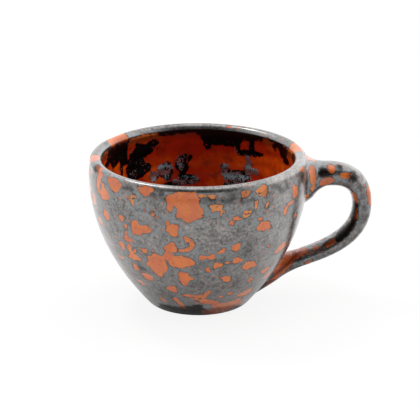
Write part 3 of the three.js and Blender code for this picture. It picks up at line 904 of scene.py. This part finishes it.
# Dark clay, for darker clouds in the red and for painted shade where pools lie over a window.
DARK_CLAY_AND_SHADE = (0.12, 0.014, 0.003, 1)
CLAY_CLOUDS = (0.35, 0.65)
OCHRE_GRAIN = (0.35, 0.6)
OCHRE_FLECKS = (0.6, 0.66)
# Clay darkens under pools: painted shade on the foot and on the handle's shadowed lower root.
POOLED_AND_SHADED_CLAY = (0.1, 1.0, 0.0, 0.9)
PAINTED_LIGHT_CLOUDS = (0.35, 0.6, 0.45, 1.0)
RED_PATCHES = (0.48, 0.75, 0.0, 0.6)
CLAY_GRAIN = (0.5, 0.8, 0.0, 0.35)


def clay_colour(tree, stored, noise):
    """Terracotta and rust clouds with flecked ochre places outside, darkened under pools as painted shade,
    and deep red inside, painted brighter orange in places as painted light.
    """
    clay = blend(tree, step(tree, noise["cloud"], *CLAY_CLOUDS), TERRACOTTA, RUST)
    clay = blend(tree, times(tree, stored["ochre_and_painted_light"], step(tree, noise["grain"], *OCHRE_GRAIN)), clay, OCHRE)
    clay = blend(tree, times(tree, stored["ochre_and_painted_light"], step(tree, noise["speck"], *OCHRE_FLECKS)), clay, OUTLINE)
    # Painted shade: clay is darkened under pools, such as at the foot and on the handle's lower root.
    clay = blend(tree, step(tree, stored["pool_and_shade"], *POOLED_AND_SHADED_CLAY), clay, DARK_CLAY_AND_SHADE)
    # Painted light: the red is painted brighter orange where more light falls inside.
    painted_light_share = times(tree, stored["ochre_and_painted_light"], step(tree, noise["cloud"], *PAINTED_LIGHT_CLOUDS))
    red = blend(tree, painted_light_share, DEEP_RED, PAINTED_LIT_RED)
    red = blend(tree, step(tree, noise["patch"], *RED_PATCHES), red, DARK_CLAY_AND_SHADE)
    clay = blend(tree, stored["inside"], clay, red)
    return blend(tree, step(tree, noise["grain"], *CLAY_GRAIN), clay, OUTLINE)


# %% Put the glaze together
# Each noise: size of its spots in millimetres, detail, roughness.
NOISES = {
    "coarse": (2.8, 4.0, 0.6),
    "fine": (0.7, 2.0, 0.5),
    "grain": (1.5, 2.0, 0.6),
    "cloud": (8.0, 4.0, 0.6),
    "patch": (4.3, 2.0, 0.5),
    "speck": (1.6, 1.0, 0.5),
}
FIELDS = ("window", "pool_and_shade", "ochre_and_painted_light", "inside", "painted_side_light", "bare")
BARE_CLAY = (0.47, 0.2, 0.11, 1)
ROUGH_GRAIN = (0.3, 0.7)
GLAZE_ROUGHNESS = (0.28, 0.42)
CLAY_ROUGHNESS = 0.26
BARE_ROUGHNESS = 0.5  # added to that
COAT = 0.8
COAT_ROUGHNESS = 0.2
CLAY_SHINE = 0.2
RELIEF_GRAIN = 0.25  # height of the grain, as a share of the glaze's edge
BUMP = {"Strength": 0.35, "Distance": 0.12 * MM}


def glaze(name):
    """Metal where the glaze is whole, glossy clay in the windows, rough clay under the foot."""
    material = empty_material(name)
    tree = material.node_tree
    noise = {kind: mottle(tree, *look) for kind, look in NOISES.items()}
    stored = {kind: field(tree, kind) for kind in FIELDS}
    edge = shaken(tree, stored["window"], noise, RAGGED)
    window = window_share(tree, stored, noise, edge)
    glazed = opposite(tree, window)
    soot_and_shade = soot_and_shade_share(tree, stored, noise)
    skin = metal_skin(tree, stored, noise, edge, soot_and_shade)
    colour = blend(tree, window, skin, clay_colour(tree, stored, noise))
    roughness = times(tree, step(tree, noise["grain"], *ROUGH_GRAIN, *GLAZE_ROUGHNESS), glazed)
    roughness = times(tree, window, CLAY_ROUGHNESS, roughness)
    relief = times(tree, noise["grain"], RELIEF_GRAIN, glazed)
    sockets = {
        "Base Color": blend(tree, stored["bare"], colour, BARE_CLAY),
        "Metallic": times(tree, glazed, opposite(tree, stored["bare"])),
        "Roughness": times(tree, stored["bare"], BARE_ROUGHNESS, roughness),
        "Normal": add(tree, "ShaderNodeBump", None, BUMP | {"Height": relief}).outputs[0],
        "Coat Weight": times(tree, times(tree, stored["inside"], -COAT, COAT), opposite(tree, soot_and_shade)),
        "Coat Roughness": COAT_ROUGHNESS,
        "Specular IOR Level": CLAY_SHINE,
    }
    shader = add(tree, "ShaderNodeBsdfPrincipled", None, sockets)
    add(tree, "ShaderNodeOutputMaterial", None, {"Surface": shader.outputs[0]})
    print(f"{name}: {len(tree.nodes)} nodes")
    return material


gunmetal_glaze = glaze("gunmetal_glaze")

# %% [markdown]
# ## The thrown body
# The profile is turned on a fine grid. A thrown wall is never quite true: soft rings stay inside where the
# fingers climbed, the rim is a little out of round, and glaze stands a tenth of a millimetre above the
# windows. A bump in the material could show these from the front, but real points also give the lip its
# uneven edge. All three move the points along the wall's own normal, and the flat under the foot stays flat.
# The glaze is painted paler on the right, as painted light where the wall reflects more light, and it is
# thick and black on the islands inside.

# %% Fill the body's fields
INNER_EDGE = 67.6  # level at which the glazed lip gives way to red inside
BURNT_LEVELS = (30, 44)  # islands inside turn from grey to black between these levels
LEAST_SOOT = 0.42  # soot on the islands below them
FULL_SOOT = 1.25
SOOT_START = (0.6, 1.4)  # soot comes in this far below the red's edge
SOOT_ON_LIP = (-0.9, -0.1)  # and a little higher where an island crosses it
ISLAND_EDGE = (-0.5, 0.5)
OCHRE_EDGE = (-1.2, 0.2)
INNER_FADE = (0, 5)  # millimetres below the red's edge in which the outside's colours end
RIM_PAINTED_LIGHT = 0.95  # how far the places of painted light near the rim keep the colour of the outside, painted brighter there
RIM_LEVELS = (61, 66)
SIDE_LIGHT_FROM = (22, 52)  # degrees to the right of the front between which the glaze is painted paler, as painted light
SIDE_LIGHT_UNTIL = (88, 104)  # and ends again
BARE_EDGE = (FOOT_RADIUS - 0.6, FOOT_RADIUS + 0.4)  # where glaze begins, outwards from the foot's middle

red_start = arc_at(INNER_EDGE, inside_rows)


def soot_inside(turn, arc, radius, height, island):
    """Soot by height, grey low down and black near the rim, with none on silvery places or the lip."""
    burnt = LEAST_SOOT + (FULL_SOOT - LEAST_SOOT) * ease(height, *BURNT_LEVELS)
    burnt = burnt * (1 - strengths_on_wall(turn, arc, radius, silver_ovals))
    on_lip = ease(arc - red_start, *SOOT_ON_LIP) * ease(island, *ISLAND_EDGE)
    return burnt * np.maximum(ease(arc - red_start, *SOOT_START), on_lip)


def body_fields(turn, arc, radius, points):
    """One array for each field, for points given by azimuth, arc length and radius.

    The window depth is the greatest of the outside's, the handle's and the red's, less its islands.
    """
    height = points[..., 2]
    below = arc - red_start
    island = depth_on_wall(turn, arc, radius, island_ovals)
    window = np.maximum(depth_on_wall(turn, arc, radius, outer_ovals), np.minimum(below, -island))
    window = np.maximum(window, depth_in_handle(points, handle_windows))
    # Dark pools outside: thick black glaze, and painted shade low round the foot and by the handle's upper
    # root.
    outer_pool_and_shade = strengths_on_wall(turn, arc, radius, pool_and_shade_ovals) * (below < 0)
    ochre_and_painted_light = ease(depth_on_wall(turn, arc, radius, ochre_ovals), *OCHRE_EDGE)
    # Painted light inside: the red is brighter in places, and near the rim keeps the outside's clay colour.
    painted_light = strengths_on_wall(turn, arc, radius, painted_light_ovals) * (below > 0)
    round_to = (np.degrees(turn) - FRONT + 180) % 360 - 180
    # Painted light: the glaze is made paler on the right side, where the wall reflects more light.
    painted_side_light = ease(round_to, *SIDE_LIGHT_FROM) * (1 - ease(round_to, *SIDE_LIGHT_UNTIL))
    return {
        "window": np.clip(window, -FAR, FAR),
        "pool_and_shade": outer_pool_and_shade + soot_inside(turn, arc, radius, height, island),
        "ochre_and_painted_light": np.maximum(ochre_and_painted_light, painted_light),
        "inside": ease(below, *INNER_FADE) * (1 - RIM_PAINTED_LIGHT * painted_light * ease(height, *RIM_LEVELS)),
        "painted_side_light": np.broadcast_to(painted_side_light, window.shape),
        "bare": np.broadcast_to(1 - ease(arc, *BARE_EDGE), window.shape),
    }


print(f"the red starts {red_start - profile_arc[crest]:.1f} mm inside the lip's crest")

# %% Turn the body
COLUMNS = 440
RING_PITCH = 5.5
INNER_RINGS = 0.1
OUTER_RINGS = 0.03
GLAZE_THICKNESS = 0.1
GLAZE_STEP = (-0.6, 0.6)  # depths between which the surface steps down into a window
OUT_OF_ROUND = 0.12
LOBE_TURN = 0.8  # radians by which the two lobes of the rim are turned
LOBE_LEVELS = (10, 60)
FLAT_FOOT = (FOOT_RADIUS, FOOT_RADIUS + 5)  # arc lengths between which the unevenness begins
THIN_LIP = 1.0  # the lip is thinner by this at the front and at the back
THIN_LIP_LEVELS = (20, 55)
UNDER_TIP = {"bare": 1}  # fields at the middle of the underside, 0 if not named
FLOOR_TIP = {"window": FAR, "inside": 1}  # and at the middle of the floor


def turned(shift, turn):
    """The profile moved along its normal by a shift, at each azimuth."""
    along = directions(profile)[1:-1]
    radius = profile[1:-1, :1] + shift * along[:, 1:]
    height = profile[1:-1, 1:] - shift * along[:, :1]
    return np.stack([radius * np.cos(turn), radius * np.sin(turn), height + 0 * turn], axis=-1)


def unevenness(turn, arc, height, fields):
    """Shift along the normal: a sine of height and azimuth, a step down in windows, a two-lobed rim."""
    ring_depth = OUTER_RINGS + (INNER_RINGS - OUTER_RINGS) * fields["inside"]
    rings = ring_depth * np.sin(2 * np.pi * height / RING_PITCH + turn)
    glaze_edge = GLAZE_THICKNESS * ease(fields["window"], *GLAZE_STEP)
    outward = np.where(arc < profile_arc[crest], 1, -1)
    lobes = outward * OUT_OF_ROUND * np.sin(2 * turn + LOBE_TURN) * ease(height, *LOBE_LEVELS)
    return (rings - glaze_edge + lobes) * ease(arc, *FLAT_FOOT)


def lip_thinning(turn, arc, radius, height):
    """How far the inside moves out: by a cosine squared of the azimuth, growing from outside to inside."""
    on_lip = arc > profile_arc[crest - LIP_ROWS // 2]
    share = np.clip((rim_radius - radius) / WALL, 0, 1) * on_lip
    return THIN_LIP * np.cos(turn - np.radians(FRONT)) ** 2 * share * ease(height, *THIN_LIP_LEVELS)


def thrown_body():
    """The profile turned on a grid, made uneven, with its lip thinned and a tip at each end of the axis."""
    turn = np.linspace(-np.pi, np.pi, COLUMNS, endpoint=False)[None, :]
    arc = profile_arc[1:-1, None]
    radius = profile[1:-1, :1]
    height = profile[1:-1, 1:]
    fields = body_fields(turn, arc, radius, turned(0, turn))
    points = turned(unevenness(turn, arc, height, fields), turn)
    reach = np.linalg.norm(points[..., :2], axis=-1)
    points[..., :2] *= (1 + lip_thinning(turn, arc, radius, height) / reach)[..., None]
    tips = np.array([[0, 0, profile[0, 1]], [0, 0, profile[-1, 1]]])
    flat = np.vstack([points.reshape(-1, 3), tips])
    for name, values in fields.items():
        fields[name] = np.append(values, [UNDER_TIP.get(name, 0), FLOOR_TIP.get(name, 0)])
    faces = [grid_faces(len(points), COLUMNS), cap_faces(len(points), COLUMNS)]
    piece("thrown_body", flat, faces, fields, gunmetal_glaze, "cup_body")


thrown_body()

# %% [markdown]
# ## The pulled strap and its joins
# The strap is one pulled piece, and each join is slip smoothed over its root. They share the body's glaze and
# could share one mesh, but the potter makes three pieces and so do these cells. Each point of a join takes
# the greater of two depths, one from the wall's windows, fading as the join leaves the wall, and one from
# the handle's, so a window can run from the wall onto the handle without a break.

# %% Make the strap and the joins
FADE = 0.8  # depth lost for each millimetre that a point stands off the wall
POOL_FADE = (0, 3)  # distances from the wall over which its pools end
STRAP_SOOT_AND_SHADE = 0.4  # the strap's glaze is darker than the wall's, partly real and partly painted shade below its lit top
SOOT_FROM_WALL = (0, 4)
LIT_TOP_LEVELS = (60, 66)  # levels between which that ends towards the top, which is left lighter because light falls on it


def near_wall_fields(points):
    """The wall's fields for points near it, with depth lost as they leave it."""
    turn = np.arctan2(points[..., 1], points[..., 0])
    height = points[..., 2]
    arc = arc_at(height, outside_rows)
    radius = radius_at(height)
    gap = np.hypot(points[..., 0], points[..., 1]) - radius
    wall = depth_on_wall(turn, arc, radius, outer_ovals) - FADE * np.maximum(gap, 0)
    depth = np.maximum(wall, depth_in_handle(points, handle_windows))
    # Pools and painted shade: the wall's fade off it, and the strap's darkening, partly painted shade, ends
    # towards its top.
    wall_pool_and_shade = strengths_on_wall(turn, arc, radius, pool_and_shade_ovals) * (1 - ease(gap, *POOL_FADE))
    soot_and_shade = STRAP_SOOT_AND_SHADE * ease(gap, *SOOT_FROM_WALL) * (1 - ease(height, *LIT_TOP_LEVELS))
    pool_and_shade = np.maximum.reduce([wall_pool_and_shade, soot_and_shade, pools_and_shade_in_handle(points)])
    return {"window": np.clip(depth, -FAR, FAR), "pool_and_shade": pool_and_shade}


def pulled_strap():
    """The rows from wall to wall, closed by a tip in the middle of each hidden end."""
    fields = near_wall_fields(strap_rows)
    tips = np.stack([strap_rows[0].mean(axis=0), strap_rows[-1].mean(axis=0)])
    points = np.vstack([strap_rows.reshape(-1, 3), tips])
    for name, values in fields.items():
        fields[name] = np.append(values, [0, 0])
    faces = [grid_faces(STRAP_ROWS, SIDES), cap_faces(STRAP_ROWS, SIDES)]
    piece("pulled_strap", points, faces, fields, gunmetal_glaze, "handle")


def smoothed_join(name, rows, node):
    """The rows of a join as a ring that closes on itself through the clay."""
    faces = [grid_faces(len(rows), SIDES, close_rows=True)]
    piece(name, rows.reshape(-1, 3), faces, near_wall_fields(rows), gunmetal_glaze, node)


pulled_strap()
smoothed_join("upper_slip_join", upper_join, "upper_slip_seam")
smoothed_join("lower_slip_join", lower_join, "lower_slip_seam")

# %% [markdown]
# ## Floor and light
# The cup stands on white in a bright room: a big soft lamp overhead, white all round, a glow on the right and
# a darker side where the photographer stands. A small bright window draws the thin highlights on lip and
# handle. A picture of a room could light it too, but a few named lights are easier to check. The floor's
# white comes from its own colour, with part of it given straight to the camera and to reflections, so that
# it stays white and still keeps the cup's shadow.

# %% Lay the floor
FLOOR_REACH = 4.0  # metres
FLOOR_WHITE = (0.88, 0.88, 0.88, 1)
WHITE = (1, 1, 1, 1)
STEADY_WHITE = 0.88  # share of the floor that is plain white to the camera
STEADY_MIRRORED = 0.35  # and in reflections


def studio_floor():
    """A white square: matte, mixed with a steady white for the camera and for reflections."""
    corners = [(x * FLOOR_REACH, y * FLOOR_REACH, 0) for x, y in ((-1, -1), (1, -1), (1, 1), (-1, 1))]
    mesh = bpy.data.meshes.new("studio_floor")
    mesh.from_pydata(corners, [], [(0, 1, 2, 3)])
    material = empty_material("floor_white")
    tree = material.node_tree
    path = add(tree, "ShaderNodeLightPath")
    share = times(tree, path.outputs["Is Camera Ray"], STEADY_WHITE)
    share = times(tree, path.outputs["Is Glossy Ray"], STEADY_MIRRORED, share)
    matte = add(tree, "ShaderNodeBsdfDiffuse", None, {"Color": FLOOR_WHITE})
    steady = add(tree, "ShaderNodeEmission", None, {"Color": WHITE})
    both = add(tree, "ShaderNodeMixShader", None, {0: share, 1: matte.outputs[0], 2: steady.outputs[0]})
    add(tree, "ShaderNodeOutputMaterial", None, {"Surface": both.outputs[0]})
    mesh.materials.append(material)
    floor = bpy.data.objects.new("studio_floor", mesh)
    bpy.context.collection.objects.link(floor)


studio_floor()
print(f"floor {2 * FLOOR_REACH:.0f} m across")

# %% Hang the lamps
LAMP_HEIGHT = 0.9  # metres
LAMP_WIDTH = 0.7
LAMP_POWER = 1.6  # watts
WINDOW_SIDE = (140, 62)  # the small bright window, a metre away: azimuth and rise in degrees
WINDOW_WIDTH = 0.16
WINDOW_POWER = 2.2


def area_lamp(name, place, width, power):
    """A square lamp at a place in metres, turned to shine on the cup."""
    data = bpy.data.lights.new(name, "AREA")
    data.size = width
    data.energy = power
    lamp = bpy.data.objects.new(name, data)
    lamp.location = place
    lamp.rotation_euler = Vector(place).to_track_quat("Z", "Y").to_euler()
    bpy.context.collection.objects.link(lamp)
    print(f"{name}: {width} m wide, {power} W")


area_lamp("overhead_lamp", (0, 0, LAMP_HEIGHT), LAMP_WIDTH, LAMP_POWER)
area_lamp("window_lamp", facing(*WINDOW_SIDE), WINDOW_WIDTH, WINDOW_POWER)

# %% Light the room
ROOM_LIGHT = 1.3
FRONT_LIGHT = 0.12
SIDE_GLOW = 0.6
DARK_SIDE = (FRONT, 30)  # azimuth and rise in degrees
DARK_SPREAD = (0.33, 0.92)  # cosines of the angle to that side, between which it darkens
GLOW_SIDE = (18, 12)
GLOW_SPREAD = (0.3, 1.0)


def towards(tree, side):
    """Cosine of the angle between a ray and a side: the product of their unit directions."""
    ray = add(tree, "ShaderNodeTexCoord").outputs["Generated"]
    sockets = {0: ray, 1: facing(*side)}
    return add(tree, "ShaderNodeVectorMath", {"operation": "DOT_PRODUCT"}, sockets).outputs["Value"]


def bright_room():
    """White all round, darker towards the camera and brighter on the right, by steps of two cosines."""
    world = bpy.data.worlds.new("bright_room")
    world.use_nodes = True
    tree = world.node_tree
    tree.nodes.clear()
    strength = step(tree, towards(tree, DARK_SIDE), *DARK_SPREAD, ROOM_LIGHT, FRONT_LIGHT)
    strength = times(tree, step(tree, towards(tree, GLOW_SIDE), *GLOW_SPREAD), SIDE_GLOW, strength)
    light = add(tree, "ShaderNodeBackground", None, {"Color": WHITE, "Strength": strength})
    add(tree, "ShaderNodeOutputWorld", None, {"Surface": light.outputs[0]})
    return world


bpy.context.scene.world = bright_room()
print(f"room light {ROOM_LIGHT}, {FRONT_LIGHT} towards the camera")
